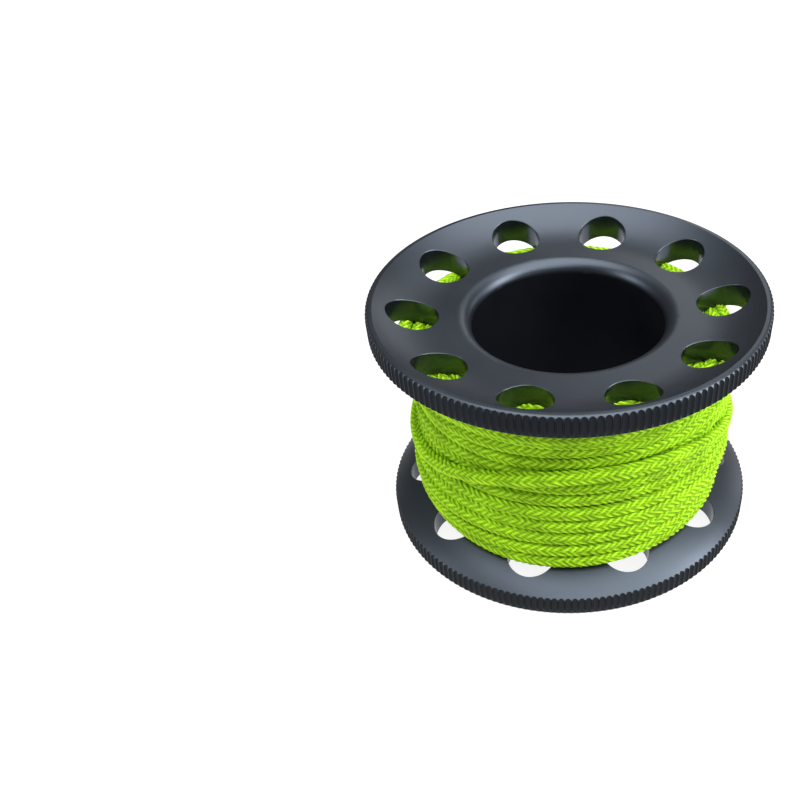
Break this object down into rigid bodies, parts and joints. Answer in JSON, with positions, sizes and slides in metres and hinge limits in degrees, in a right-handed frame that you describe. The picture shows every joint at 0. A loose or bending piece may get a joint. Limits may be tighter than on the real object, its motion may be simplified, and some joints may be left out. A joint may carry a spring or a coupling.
{
  "type": "fishing line spool",
  "caption": "Open-bore finger spool: two dished, perforated flanges with knurled rims on a tubular hub, wound with braided line.",
  "frame": {"origin": "middle of the lower rim's foot plane, on the spool's axis", "axes": "+Z along the spool's axis, up when it stands on a rim; one hole of each flange lies on +X"},
  "size_m": [0.085, 0.085, 0.054],
  "materials": {
    "anodised_aluminium": "satin",
    "braided_line": "matte"
  },
  "bodies": {
    "root": {"lower_flange": "anodised_aluminium", "upper_flange": "anodised_aluminium", "hub_sleeve": "anodised_aluminium", "line_winding": "braided_line", "line_tail": "braided_line", "anchor_knot": "braided_line", "stopper_knot": "braided_line"}
  },
  "joints": []
}
